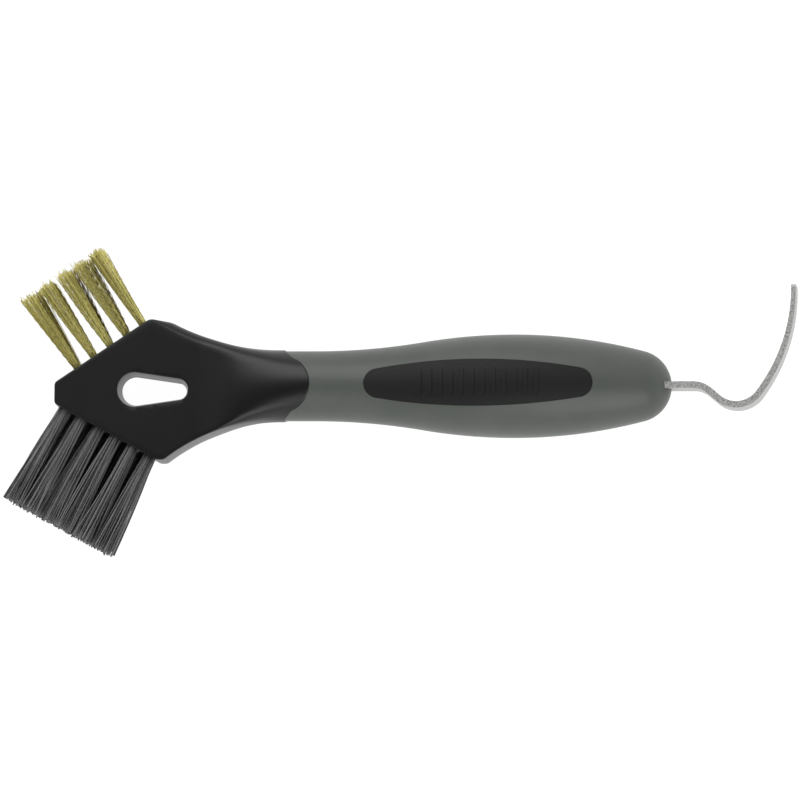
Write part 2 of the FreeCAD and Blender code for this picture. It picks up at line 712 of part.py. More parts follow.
head_plate = extrude_both_ways("HeadPlate", head_outline(), "Sizes.head_thickness")
doc.recompute()
shoulder_x = -size("hang_small_from_butt") - size("brass_land_length") / 2
corners = [number for number, edge in enumerate(head_plate.Shape.Edges, start=1)
           if edge.BoundBox.XLength + edge.BoundBox.YLength < 1e-6
           and edge.CenterOfMass.x < shoulder_x]
cornered_plate = round_edges("CorneredPlate", head_plate, corners, "corner_round")
rims = [number for number, edge in enumerate(cornered_plate.Shape.Edges, start=1)
        if edge.BoundBox.ZLength < 1e-6
        and edge.BoundBox.XMin < -size("tongue_root_from_butt") - size("rim_round")]
soft_plate = round_edges("SoftPlate", cornered_plate, rims, "rim_round")

# the plate's square edges are pared away towards the neck by a cone that opens to the tip
skin_radius = "(Sizes.neck_radius + Sizes.head_skin_proud)"
cone_length = "(Sizes.tip_from_butt - Sizes.tongue_tip_from_butt)"
paring_cone = lying("Part::Cone", "ParingCone",
                    "-Sizes.tongue_tip_from_butt - Sizes.tongue_radius", Radius1=skin_radius,
                    Radius2=f"{skin_radius} + 0.55 * {cone_length}", Height=cone_length)
pared_plate = combine("Part::Common", "ParedPlate", soft_plate, oval("ParingOval", paring_cone))

# the skirt over the neck is the neck's own oval, a little proud, closing to a long blunt nose
skirt_tube = lying("Part::Cylinder", "SkirtTube", "-Sizes.tongue_tip_from_butt",
                   Radius=skin_radius, Height="Sizes.tongue_radius")
skirt_nose = lying("Part::Cone", "SkirtNose", "-Sizes.tongue_tip_from_butt - Sizes.tongue_radius",
                   Radius1=skin_radius, Radius2="Sizes.spigot_radius",
                   Height="Sizes.spigot_end_from_butt - Sizes.tongue_tip_from_butt")
skirt_round = join("SkirtRound", [skirt_tube, skirt_nose])
skirt = combine("Part::Common", "Skirt", oval("SkirtOval", skirt_round), skirt_zone)

head_block = join("HeadBlock", [pared_plate, skirt])
hang_hole = extrude_both_ways("HangHole", hang_outline(), "2 * Sizes.head_thickness")
head_hollows = join("HeadHollows", [head_socket, hang_hole] + seats)
head = combine("Part::Cut", "Head", head_block, head_hollows)
head.Label = "brush_head"

# ---------------------------------------------------------------- check, lay on its back, write
doc.recompute()
pieces = [handle, head, inlay_front, inlay_back, hook] + tufts + list(anchor_sets.values())

for thing in doc.Objects:
    if "Invalid" in thing.State or "Error" in thing.State:
        raise RuntimeError(f"{thing.Label} did not build: {thing.State}")
for piece in pieces:
    if piece.Shape.isNull() or not piece.Shape.isValid():
        raise RuntimeError(f"{piece.Label} has no sound shape")

# the finished frame has its origin under the middle of the whole tool, at its lowest point
whole = FreeCAD.BoundBox()
for piece in pieces:
    whole.add(piece.Shape.optimalBoundingBox(False, False))
origin = V(-whole.Center.x, -whole.Center.y, -whole.ZMin)

os.makedirs("parts", exist_ok=True)
for piece in pieces:
    piece.Placement.Base = piece.Placement.Base + origin
    piece.Shape.exportStep(f"parts/{piece.Label}.step")
print("whole tool, mm:", round(whole.XLength, 2), round(whole.YLength, 2), round(whole.ZLength, 2))
print("moved by, mm:", [round(value, 3) for value in origin])
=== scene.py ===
# %% [markdown]
# # A two-sided cleaning brush with a steel pick
#
# The tool is about 23 cm long. A black forked head carries crimped brass wire on one side and
# grey nylon on the other, an oval grip has a soft inlay on each face, and a flat steel strip
# leaves the butt and turns up into a pick. The engineering model is already there, as the frame;
# this lesson gives it its surfaces, its bristles and its light.

# %% Load the frame
import math

import bpy
import numpy as np
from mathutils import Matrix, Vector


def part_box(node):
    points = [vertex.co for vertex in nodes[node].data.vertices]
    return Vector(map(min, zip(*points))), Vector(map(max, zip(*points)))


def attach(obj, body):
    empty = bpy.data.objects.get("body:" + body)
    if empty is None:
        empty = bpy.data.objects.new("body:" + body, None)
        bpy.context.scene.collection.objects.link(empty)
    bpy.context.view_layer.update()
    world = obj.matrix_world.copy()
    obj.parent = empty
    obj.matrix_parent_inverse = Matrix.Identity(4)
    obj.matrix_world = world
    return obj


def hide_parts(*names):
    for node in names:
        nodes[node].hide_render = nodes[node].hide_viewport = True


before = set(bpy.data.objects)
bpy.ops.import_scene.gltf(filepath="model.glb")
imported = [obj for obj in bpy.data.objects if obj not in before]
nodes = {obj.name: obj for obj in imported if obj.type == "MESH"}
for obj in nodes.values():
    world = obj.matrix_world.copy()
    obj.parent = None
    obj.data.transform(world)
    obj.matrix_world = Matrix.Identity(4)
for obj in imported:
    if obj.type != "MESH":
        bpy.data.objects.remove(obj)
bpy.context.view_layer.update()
MM = 0.001

# %% [markdown]
# Everything is placed from the handle. Its butt is the zero of length along the tool, its width
# is centred on the tool's axis, and its thickness is centred on the plane where the two halves
# of the mould met. Lengths below are in millimetres from that point, with the head on the minus
# side, the brass on the plus side of Y, and the front face up.

# %% The tool's own axes
handle_low, handle_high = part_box("handle")
hook_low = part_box("steel_hook")[0]
TANG_LENGTH = 45.0
BUTT_X = hook_low.x / MM + TANG_LENGTH
AXIS_Y = (handle_low.y + handle_high.y) / 2 / MM
MIDDLE_Z = (handle_low.z + handle_high.z) / 2 / MM


def to_row(points):
    """Points in millimetres on the tool's own axes become metres in the shared frame."""
    return (np.asarray(points, float) + np.array([BUTT_X, AXIS_Y, MIDDLE_Z])) * MM


print("butt, axis and mould plane in mm:", round(BUTT_X, 2), round(AXIS_Y, 2), round(MIDDLE_Z, 2))

# %% [markdown]
# The camera stands four metres away with a long lens, so that the tool is seen almost without
# perspective, as in a catalogue. It leans a little towards the pick and a little towards the
# nylon side, which shows one wall of the hang hole and one edge of the steel strip.

# %% Camera
CAMERA_DISTANCE = 4.0
LEAN_TO_PICK = math.radians(5.3)
LEAN_TO_NYLON = math.radians(6.3)
VIEW_WIDTH = 0.232
SENSOR_WIDTH = 36.0
AIM = to_row([-79.0, -4.0, 0.0])

toward = np.array([math.sin(LEAN_TO_PICK), -math.sin(LEAN_TO_NYLON), 0.0])
toward[2] = math.sqrt(1.0 - toward @ toward)
right = np.array([1.0, 0.0, 0.0]) - toward * toward[0]
right /= np.linalg.norm(right)
up = np.cross(toward, right)

camera_data = bpy.data.cameras.new("studio_camera")
camera_data.sensor_width = SENSOR_WIDTH
camera_data.lens = SENSOR_WIDTH * CAMERA_DISTANCE / VIEW_WIDTH
camera_data.clip_end = 20.0
camera = bpy.data.objects.new("studio_camera", camera_data)
bpy.context.scene.collection.objects.link(camera)
turn = np.eye(4)
turn[:3, 0], turn[:3, 1], turn[:3, 2] = right, up, toward
turn[:3, 3] = AIM + toward * CAMERA_DISTANCE
camera.matrix_world = turn.T.tolist()
bpy.context.scene.camera = camera
bpy.context.scene.view_settings.view_transform = "Standard"
print("lens in mm:", round(camera_data.lens))

# %% [markdown]
# Every colour below is an sRGB hex code, as a paint or web chart gives it, and the shaders want
# linear light, so one function converts them. One more function adds a shader node with its
# settings and its links, and the recipes for air, plastic and metal are all made from it.


# %% Colour and node helpers
def linear(code):
    """An sRGB hex colour as linear RGBA.

    c / 12.92 for dark channels and ((c + 0.055) / 1.055) ** 2.4 for the others.
    """
    channels = np.array([int(code[start:start + 2], 16) for start in (1, 3, 5)]) / 255.0
    low = channels / 12.92
    high = ((channels + 0.055) / 1.055) ** 2.4
    return (*np.where(channels <= 0.04045, low, high), 1.0)


def add_node(tree, kind, settings=None, **links):
    """Add a shader node; links name its inputs and give a value or another node's output.

    An underscore in a name stands for a blank, and _6 stands for the input with that number.
    """
    node = tree.nodes.new(kind)
    for name, value in (settings or {}).items():
        setattr(node, name, value)
    for name, value in links.items():
        key = int(name[1:]) if name[0] == "_" and name[1:].isdigit() else name.replace("_", " ")
        socket = node.inputs[key]
        if isinstance(value, bpy.types.NodeSocket):
            tree.links.new(value, socket)
        else:
            socket.default_value = value
    return node


def new_finish(name, **values):
    """A material whose Principled shader has those values; gives it, its tree and its shader."""
    made = bpy.data.materials.new(name)
    made.use_nodes = True
    shader = made.node_tree.nodes["Principled BSDF"]
    for key, value in values.items():
        shader.inputs[key.replace("_", " ")].default_value = value
    return made, made.node_tree, shader


def blend_colours(tree, share, first, second):
    """The output of a colour mix: first where share is 0, second where it is 1."""
    mix = add_node(tree, "ShaderNodeMix", {"data_type": "RGBA"}, _0=share, _6=first, _7=second)
    return mix.outputs[2]


print("mid grey #808080 in linear light:", round(float(linear("#808080")[0]), 3))

# %% [markdown]
# The tool lies on a light table, a pale sheet that glows by itself, inside a white tent with an
# opening in its roof. The table gives a white ground with no hard shadow and lights the flanks of
# the grip from below. The dark opening is what the flat faces mirror, so they stay deep in tone,
# while the pale walls draw a soft light line along every rounded edge. Two large soft panels
# add the broad light.

# %% Tent, light table and panels
WALL_LIGHT = 0.85
ROOF_LIGHT = 0.06
OPENING_EDGE, OPENING_MIDDLE = 0.35, 0.85  # heights on the unit sphere of directions
world = bpy.data.worlds.new("white_tent")
world.use_nodes = True
tent = world.node_tree
direction = add_node(tent, "ShaderNodeTexCoord")
height = add_node(tent, "ShaderNodeSeparateXYZ", Vector=direction.outputs["Generated"])
opening = add_node(tent, "ShaderNodeMapRange", {"interpolation_type": "SMOOTHSTEP"},
                   Value=height.outputs["Z"], From_Min=OPENING_EDGE, From_Max=OPENING_MIDDLE,
                   To_Min=WALL_LIGHT, To_Max=ROOF_LIGHT)
tent.nodes["Background"].inputs["Color"].default_value = (1.0, 1.0, 1.0, 1.0)
tent.links.new(opening.outputs["Result"], tent.nodes["Background"].inputs["Strength"])
bpy.context.scene.world = world

TABLE_REACH = 3.0
table_mesh = bpy.data.meshes.new("light_table")
corners = TABLE_REACH * np.array([(-1, -1, 0), (1, -1, 0), (1, 1, 0), (-1, 1, 0)])
table_mesh.from_pydata(corners.tolist(), [], [(0, 1, 2, 3)])
table = bpy.data.objects.new("light_table", table_mesh)
bpy.context.scene.collection.objects.link(table)
opal = new_finish("opal acrylic, lit from below", Base_Color=linear("#707070"), Roughness=0.9,
                  Emission_Color=(1.0, 1.0, 1.0, 1.0), Emission_Strength=0.97)
table_mesh.materials.append(opal[0])


def soft_panel(name, place, size, power):
    """A square area light of that size in metres, turned to shine on the middle of the tool."""
    data = bpy.data.lights.new(name, "AREA")
    data.size = size
    data.energy = power
    lamp = bpy.data.objects.new(name, data)
    bpy.context.scene.collection.objects.link(lamp)
    lamp.location = place
    lamp.rotation_euler = lamp.location.to_track_quat("Z", "Y").to_euler()


PANEL_SIZE = 1.0
soft_panel("panel_over_brass", (-0.35, 0.9, 1.2), PANEL_SIZE, power=8.0)
soft_panel("panel_over_nylon", (0.35, -0.9, 1.2), PANEL_SIZE, power=7.0)

# %% [markdown]
# **Moulded plastics.** The handle and the head are polypropylene, shot into a steel mould whose
# walls were spark eroded, which leaves a fine matt grain; the inlay is a thermoplastic elastomer,
# softer to the eye because its grain is coarser and its gloss lower. Polypropylene has an IOR of
# 1.49 and a roughness near 0.45. A slow noise stands for the flow of the melt and the marks of
# hands, and a fine one for the grain. Real spark grain is about 0.05 mm across, too fine to
# show, so it is drawn at 0.35 mm. The inlay is as black as the head, and only duller.


# %% Moulded plastic
CLOUD_MM = 14.0


def per_metre(size_mm):
    """How many pattern cells of that size in millimetres go into a metre."""
    return 1.0 / (size_mm * MM)


def moulded(name, dark, light, matt, gloss, grain_mm, grain_depth_mm, **values):
    """Plastic with clouds of two near colours, a grain, and roughness that follows both."""
    made, tree, shader = new_finish(name, **values)
    place = add_node(tree, "ShaderNodeTexCoord").outputs["Object"]
    clouds = add_node(tree, "ShaderNodeTexNoise", Vector=place, Scale=per_metre(CLOUD_MM),
                      Detail=3.0, Roughness=0.55)
    grain = add_node(tree, "ShaderNodeTexNoise", Vector=place, Scale=per_metre(grain_mm),
                     Detail=4.0, Roughness=0.7)
    share = add_node(tree, "ShaderNodeMapRange", Value=clouds.outputs["Fac"], From_Min=0.3,
                     From_Max=0.7)
    tone = blend_colours(tree, share.outputs["Result"], linear(dark), linear(light))
    tree.links.new(tone, shader.inputs["Base Color"])
    rough = add_node(tree, "ShaderNodeMapRange", Value=grain.outputs["Fac"], From_Min=0.25,
                     From_Max=0.75, To_Min=gloss, To_Max=matt)
    tree.links.new(rough.outputs["Result"], shader.inputs["Roughness"])
    relief = add_node(tree, "ShaderNodeBump", Height=grain.outputs["Fac"], Strength=0.5,
                      Distance=grain_depth_mm * MM)
    tree.links.new(relief.outputs["Normal"], shader.inputs["Normal"])
    return made


grey_plastic = moulded("polypropylene, moulded, spark eroded grey", "#555A54", "#5C605B",
                       matt=0.46, gloss=0.34, grain_mm=0.35, grain_depth_mm=0.02, IOR=1.49)
black_plastic = moulded("polypropylene, moulded, spark eroded black", "#0E0E0E", "#131313",
                        matt=0.38, gloss=0.28, grain_mm=0.35, grain_depth_mm=0.012, IOR=1.49)
soft_plastic = moulded("thermoplastic elastomer, moulded, matt black", "#090A09", "#0D0E0D",
                       matt=0.64, gloss=0.50, grain_mm=0.45, grain_depth_mm=0.03, IOR=1.50,
                       Specular_IOR_Level=0.4)
print("plastics:", grey_plastic.name, "|", black_plastic.name, "|", soft_plastic.name)

# %% [markdown]
# ** Zinc on steel.** The pick is cold rolled strip, sheared, bent and electroplated with zinc, so
# it is pale grey and satin. Its sheared edges face up and down as the tool lies, and the faces
# that point that way get dull flecks about 0.5 mm across: partly the torn, thinly plated edge,
# partly painted shade that keeps the upward edge darker. The rolled faces that stand upright are
# even in tone.

# %% Zinc plate
BLOOM_MM, FLECK_MM = 2.2, 0.55
FLECK_DEPTH_MM = 0.04
zinc, tree, shader = new_finish("steel strip, sheared and zinc plated", Metallic=1.0)
place = add_node(tree, "ShaderNodeTexCoord").outputs["Object"]
bloom = add_node(tree, "ShaderNodeTexNoise", Vector=place, Scale=per_metre(BLOOM_MM), Detail=4.0,
                 Roughness=0.6)
flecks = add_node(tree, "ShaderNodeTexNoise", Vector=place, Scale=per_metre(FLECK_MM), Detail=3.0,
                  Roughness=0.8)
fleck_share = add_node(tree, "ShaderNodeMapRange", Value=flecks.outputs["Fac"], From_Min=0.42,
                       From_Max=0.66)
bright = blend_colours(tree, bloom.outputs["Fac"], linear("#C8C8C6"), linear("#DADAD8"))
flecked = blend_colours(tree, fleck_share.outputs["Result"], bright, linear("#8C8C8A"))
# faces that point up or down take the flecked colour: partly torn plating, partly painted shade on
# the upward edge
facing = add_node(tree, "ShaderNodeSeparateXYZ",
                  Vector=add_node(tree, "ShaderNodeTexCoord").outputs["Normal"])
steep = add_node(tree, "ShaderNodeMath", {"operation": "ABSOLUTE"}, _0=facing.outputs["Z"])
sheared = add_node(tree, "ShaderNodeMapRange", Value=steep.outputs[0], From_Min=0.6, From_Max=0.95)
zinc_tone_with_painted_shade = blend_colours(tree, sheared.outputs["Result"], linear("#C4C4C2"), flecked)
tree.links.new(zinc_tone_with_painted_shade, shader.inputs["Base Color"])
rough = add_node(tree, "ShaderNodeMapRange", Value=flecks.outputs["Fac"], From_Min=0.3,
                 From_Max=0.7, To_Min=0.52, To_Max=0.8)
tree.links.new(rough.outputs["Result"], shader.inputs["Roughness"])
relief = add_node(tree, "ShaderNodeBump", Height=flecks.outputs["Fac"], Strength=0.5,
                  Distance=FLECK_DEPTH_MM * MM)
tree.links.new(relief.outputs["Normal"], shader.inputs["Normal"])
print("metal:", zinc.name)

# %% [markdown]
# ** Bristle finishes.** Brass wire is drawn bright and then crimped between gear rolls; its colour
# runs from pale gold to brown, partly a tone that differs from wire to wire and partly painted
# glints and painted shade, a strong fine noise along the crimps. Nylon filament is extruded with
# grey pigment and has a soft gloss. Each strand carries one number, its shade, as an attribute of
# its own mesh, so neighbours differ a little, and one ramp turns the shade into colour; the back
# rows get a lower number, painted shade for the shadow behind the front row.


# %% Bristle finishes
def strand_finish(name, dark, light, roughness, fleck_and_glint_mm, fleck_share, span, **values):
    """A bristle that goes from dark to light as shade + fleck * fleck_share crosses span."""
    made, tree, shader = new_finish(name, Roughness=roughness, **values)
    place = add_node(tree, "ShaderNodeTexCoord").outputs["Object"]
    shade = add_node(tree, "ShaderNodeAttribute", {"attribute_name": "shade"}).outputs["Fac"]
    fleck_and_glint = add_node(tree, "ShaderNodeTexNoise", Vector=place, Scale=per_metre(fleck_and_glint_mm),
                     Detail=2.0).outputs["Fac"]
    share = add_node(tree, "ShaderNodeMath", {"operation": "MULTIPLY_ADD"}, _0=fleck_and_glint,
                     _1=fleck_share, _2=shade)
    cut = add_node(tree, "ShaderNodeMapRange", Value=share.outputs[0], From_Min=span[0],
                   From_Max=span[1])
    tone = blend_colours(tree, cut.outputs["Result"], linear(dark), linear(light))
    tree.links.new(tone, shader.inputs["Base Color"])
    return made


# On the brass the fine noise is strong: painted glints and painted shade along the crimped wires,
# over a tone that differs from wire to wire.
brass_wire = strand_finish("brass, drawn and crimped wire", "#6E5A1A", "#FFF8A8", roughness=0.58,
                           fleck_and_glint_mm=0.45, fleck_share=1.8, span=(0.8, 1.65), Metallic=1.0)
nylon_filament = strand_finish("nylon, extruded grey filament", "#202020", "#8C8C8C",
                               roughness=0.42, fleck_and_glint_mm=0.9, fleck_share=0.5, span=(0.2, 1.2),
                               IOR=1.53)
anchor_wire = strand_finish("brass, flattened anchor wire", "#8A7A48", "#B5A468", roughness=0.4,
                            fleck_and_glint_mm=0.6, fleck_share=0.5, span=(0.15, 1.25), Metallic=1.0)
print("bristles:", brass_wire.name, "|", nylon_filament.name)

# %% [markdown]
# ** A piece from arrays.** All new pieces are made the same way: numpy works out the points, a
# small function puts them into a mesh, and the piece is hung on the body it rides on and given its
# finish, and the CAD node it stands for is hidden.


# %% Piece from arrays
def make_mesh(name, points, faces):
    """A smooth mesh from points in millimetres on the tool's axes and lists of corner numbers."""
    mesh = bpy.data.meshes.new(name)
    mesh.from_pydata(to_row(points.reshape(-1, 3)).tolist(), [], faces)
    mesh.validate()
    mesh.shade_smooth()
    return mesh


def make_piece(name, mesh, finish, stands_for):
    """Link a mesh as a piece of the object that replaces one CAD node."""
    mesh.materials.clear()
    mesh.materials.append(finish)
    piece = bpy.data.objects.new(name, mesh)
    bpy.context.scene.collection.objects.link(piece)
    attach(piece, "root")
    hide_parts(stands_for)
    return piece


def ring_faces(rings, around):
    """Quads between closed rings of points that follow each other, in the order that was given."""
    ring, step = np.meshgrid(np.arange(rings - 1), np.arange(around), indexing="ij")
    after = (step + 1) % around
    quads = np.stack([ring * around + step, ring * around + after,
                      (ring + 1) * around + after, (ring + 1) * around + step], axis=-1)
    return quads.reshape(-1, 4)


# %% [markdown]
# **The forked head.** It is one moulding: a 12 mm plate with two slanted brush faces and hollow
# sides, which swells into an oval sleeve round the neck of the handle and ends in a tongue. It
# could be sculpted or made of Booleans, but a loft is cleaner. At each place along the tool a
# rounded rectangle is laid between the two edges of the plan, and towards the neck it turns
# smoothly into an oval. The two halves of a mould never meet perfectly, so the flanks have a
# draft and a fine parting line.

# %% Plan of the head
TIP_X, TIP_TOP, TIP_BOTTOM = -179.3, 0.7, -5.8
BRASS_ANGLE, NYLON_ANGLE = math.radians(34.0), math.radians(28.6)
BRASS_CORNER_X, NYLON_CORNER_X = -151.69, -149.10
BRASS_LAND, BRASS_LAND_ANGLE, NYLON_LAND = 6.42, math.radians(9.0), 2.0
BRASS_SIDE_RADIUS, NYLON_SIDE_RADIUS = 67.5, 54.6
SKIN_RADIUS, DEPTH_SHARE = 10.5, 0.83


def side_of_plan(x, start, slope, corner_x, land, land_slope, radius):
    """Height of one edge of the plan: a slanted face, a short land, then a hollow arc.

    The arc has the given radius and runs level at the skin of the neck; it starts where the land
    ends, a run of sqrt(2 radius rise - rise squared) before it is level.
    """
    corner = start + slope * (corner_x - TIP_X)
    arc_x = corner_x + land
    shoulder = corner - land_slope * land
    rise = shoulder - SKIN_RADIUS
    level_x = arc_x + math.sqrt(2 * radius * rise - rise**2)
    reach = np.clip(level_x - x, 0.0, level_x - arc_x)
    arc = SKIN_RADIUS + radius - np.sqrt(radius**2 - reach**2)
    face = start + slope * (x - TIP_X)
    return np.where(x < corner_x, face,
                    np.where(x < arc_x, corner - land_slope * (x - corner_x), arc))


def softened(edge, x, width):
    """The mean of an edge over a window of that width, which turns its corners into curves."""
    return np.mean([edge(x + shift) for shift in np.linspace(-width / 2, width / 2, 11)], axis=0)


def brass_edge(x):
    """The edge of the plan on the brass side, measured upwards."""
    return side_of_plan(x, TIP_TOP, math.tan(BRASS_ANGLE), BRASS_CORNER_X, BRASS_LAND,
                        math.tan(BRASS_LAND_ANGLE), BRASS_SIDE_RADIUS)


def nylon_edge(x):
    """The edge of the plan on the nylon side, measured downwards."""
    return side_of_plan(x, -TIP_BOTTOM, math.tan(NYLON_ANGLE), NYLON_CORNER_X, NYLON_LAND, 0.0,
                        NYLON_SIDE_RADIUS)


def nose_round(x, edge, slant, radius):
    """The edge with its corner at the blunt tip rounded by a circle of that radius."""
    centre = edge(np.float64(TIP_X + radius)) - radius / math.cos(slant)
    inward = np.clip(TIP_X + radius - x, 0.0, radius)
    circle = centre + np.sqrt(radius**2 - inward**2)
    return np.where(x < TIP_X + radius * (1 - math.sin(slant)), circle, edge(x))


def smooth_step(x, start, end):
    """Zero before start, one after end, and 3 t squared - 2 t cubed between."""
    t = np.clip((x - start) / (end - start), 0.0, 1.0)
    return t * t * (3 - 2 * t)


NOSE_RADIUS = 1.4
NOSE_STEPS, LENGTH_STEPS = 8, 168
AFTER_NOSE_X, HEAD_END_X = TIP_X + 1.9, -112.2
PLAIN_NOSE_X = -170.0
BRASS_CORNER_WIDTH, NYLON_CORNER_WIDTH = 2.0, 1.2
nose_turn = np.linspace(0, np.pi / 2, NOSE_STEPS)
stations = np.concatenate([TIP_X + NOSE_RADIUS * (1 - np.cos(nose_turn)),
                           np.linspace(AFTER_NOSE_X, HEAD_END_X, LENGTH_STEPS)])


def eased(edge, width):
    """The edge with its corners softened by that width, but plain near the nose."""
    return lambda x: softened(edge, x, width * (x > PLAIN_NOSE_X))


top = nose_round(stations, eased(brass_edge, BRASS_CORNER_WIDTH), BRASS_ANGLE, NOSE_RADIUS)
bottom = -nose_round(stations, eased(nylon_edge, NYLON_CORNER_WIDTH), NYLON_ANGLE, NOSE_RADIUS)
print("head plan, highest and lowest in mm:", round(top.max(), 2), round(bottom.min(), 2))

# %% Sections of the head
RIM = 0.5
PLATE_HALF = 6.0
NECK_HALF = SKIN_RADIUS * DEPTH_SHARE
DRAFT = 0.2
PARTING_DEPTH, PARTING_WIDTH, FLANK_REACH = 0.10, 0.18, 0.3
CORNER_STEPS, FACE_STEPS = 8, 20
# from where to where along the tool each change of section runs, then how much a rim changes
THICKENING, ROUNDING_OFF = (-138.0, -113.0), (-134.0, HEAD_END_X)
TOP_SOFTENING, BOTTOM_SHARPENING = (-152.0, -144.0), (-160.0, -150.0)
TOP_RIM_GAIN, BOTTOM_RIM_LOSS = 2.3, 0.2

inward = np.clip(TIP_X + RIM - stations, 0.0, RIM)
thick = (PLATE_HALF + (NECK_HALF - PLATE_HALF) * smooth_step(stations, *THICKENING)
         - (RIM - np.sqrt(RIM**2 - inward**2)))
to_oval = smooth_step(stations, *ROUNDING_OFF)
top_rim = RIM + TOP_RIM_GAIN * smooth_step(stations, *TOP_SOFTENING)
bottom_rim = RIM - BOTTOM_RIM_LOSS * smooth_step(stations, *BOTTOM_SHARPENING)

side_share = np.array([-0.7, -0.35, -0.1, -0.04, 0.0, 0.04, 0.1, 0.35, 0.7])
quarter = np.linspace(0.0, np.pi / 2, CORNER_STEPS)
across = (np.arange(FACE_STEPS) + 1) / (FACE_STEPS + 1)


def rounded_section(top, bottom, thick, top_rim, bottom_rim):
    """A rounded rectangle at every station, as (station, step, 2) with height and depth.

    It goes up the back of the top flank, over the front face, down the bottom flank and along the
    back face; each corner is a quarter circle centred one rim radius inside.
    """
    top, bottom, thick = top[:, None], bottom[:, None], thick[:, None]
    top_rim, bottom_rim = top_rim[:, None], bottom_rim[:, None]
    flank_top = (top + 0 * side_share, (thick - top_rim) * side_share)
    front_high = (top - top_rim * (1 - np.cos(quarter)), thick - top_rim * (1 - np.sin(quarter)))
    front = (top - top_rim + (bottom + bottom_rim - top + top_rim) * across, thick + 0 * across)
    front_low = (bottom + bottom_rim * (1 - np.sin(quarter)),
                 thick - bottom_rim * (1 - np.cos(quarter)))
    flank_low = (bottom + 0 * side_share, -(thick - bottom_rim) * side_share)
    back_low = (front_low[0][:, ::-1], -front_low[1][:, ::-1])
    back = (front[0][:, ::-1], -front[1][:, ::-1])
    back_high = (front_high[0][:, ::-1], -front_high[1][:, ::-1])
    rows = [flank_top, front_high, front, front_low, flank_low, back_low, back, back_high]
    return np.stack([np.concatenate([row[axis] for row in rows], axis=1) for axis in (0, 1)], -1)


plate = rounded_section(top, bottom, thick, top_rim, bottom_rim)
depth = plate[..., 1]
middle = ((top + bottom) / 2)[:, None]
half = ((top - bottom) / 2)[:, None]
drafted = (plate[..., 0] - middle) * (1 - DRAFT * np.abs(depth) / thick[:, None] / half)
on_flank = np.abs(np.abs(drafted) - half) < FLANK_REACH
parting = PARTING_DEPTH * np.exp(-(depth / PARTING_WIDTH)**2) * on_flank
drafted -= np.sign(drafted) * parting

counts = [len(side_share), CORNER_STEPS, FACE_STEPS, CORNER_STEPS] * 2
breaks = np.radians([-22, 22, 55, 125, 158, 202, 235, 305, 338])
angle = np.concatenate([np.linspace(breaks[k], breaks[k + 1], counts[k] + 2)[1:-1]
                        for k in range(len(counts))])
oval = np.stack([half * np.cos(angle), thick[:, None] * np.sin(angle)], -1)
weight = to_oval[:, None, None]
section = (1 - weight) * np.stack([drafted, depth], -1) + weight * oval
section[..., 0] += middle
print("sections of the head:", section.shape)

# %% [markdown]
# The sleeve ends in a tongue on each face: a round tip that runs out into two small flares at the
# flanks. The last sections are pulled forward to that line, the lip is eased, and the surface
# turns in and runs back as the socket that the handle's spigot fills, so the head is one closed
# shell with a real hollow.

# %% Tongue, socket and mesh of the head
TONGUE_TIP, TONGUE_RADIUS = -104.7, 8.3
TONGUE_EDGE, TONGUE_EDGE_SLOPE = 8.0, 4.0
FLARE_DROP, FLARE_HEIGHT, FLARE_SLOPE, FLARE_LEVEL, FLARE_SOFTNESS = 5.0, 7.6, 0.95, -1.4, 0.35
PULL_START_X = -126.0
LIP_SETBACK, LIP_ROUND = 0.30, 0.10
SOCKET_STEP_X, SOCKET_END_X = -114.0, -130.1
SOCKET_WALL_SHARE, SPIGOT_SHARE = 0.935, 0.614


def tongue_line(height):
    """How far forward the sleeve reaches: a circle at its tip, softly meeting a straight flare.

    The drop from the tip is the soft minimum of radius - sqrt(radius^2 - y^2), which runs on as a
    steep line past the tongue's edge, and of the flare's line, which is level near the middle.
    """
    rise = np.abs(height)
    circle = TONGUE_RADIUS - np.sqrt(np.maximum(TONGUE_RADIUS**2 - rise**2, 0.0))
    circle = circle + TONGUE_EDGE_SLOPE * np.maximum(rise - TONGUE_EDGE, 0.0)
    flare = FLARE_DROP + FLARE_SLOPE * np.maximum(rise - FLARE_HEIGHT, FLARE_LEVEL)
    both = np.exp(-circle / FLARE_SOFTNESS) + np.exp(-flare / FLARE_SOFTNESS)
    return TONGUE_TIP + FLARE_SOFTNESS * np.log(both)


line = tongue_line(section[-1, :, 0])
pull = smooth_step(stations, PULL_START_X, HEAD_END_X)[:, None]
along = stations[:, None] + pull * (line - HEAD_END_X)
outer = np.concatenate([along[..., None], section], axis=-1)
last = section[-1]
outer[-1, :, 0] -= LIP_SETBACK
lip = [np.column_stack([line - LIP_ROUND, last * 0.995]), np.column_stack([line, last * 0.975]),
       np.column_stack([line, last * SOCKET_WALL_SHARE])]


def oval_ring(x, share):
    """A ring of the socket: the neck's section, scaled, at one place along the tool."""
    return np.column_stack([np.full(len(last), x), last * share])


socket = [oval_ring(SOCKET_STEP_X, SOCKET_WALL_SHARE), oval_ring(SOCKET_STEP_X, SPIGOT_SHARE),
          oval_ring(SOCKET_END_X, SPIGOT_SHARE)]
shell = np.concatenate([outer, np.stack(lip), np.stack(socket)])
steps = shell.shape[1]
faces = ring_faces(len(shell), steps).tolist()
faces.append(list(range(steps))[::-1])
faces.append(list(range((len(shell) - 1) * steps, len(shell) * steps)))
head_mesh = make_mesh("head_blank", shell, faces)
print("head blank:", len(head_mesh.vertices), "points")

# %% [markdown]
# The hang hole and the holes for the tufts are cut with one Boolean. The hang hole's cutter is a
# teardrop whose outline grows towards both faces: the draft of the mould, and then a small
# quarter round at the rim.

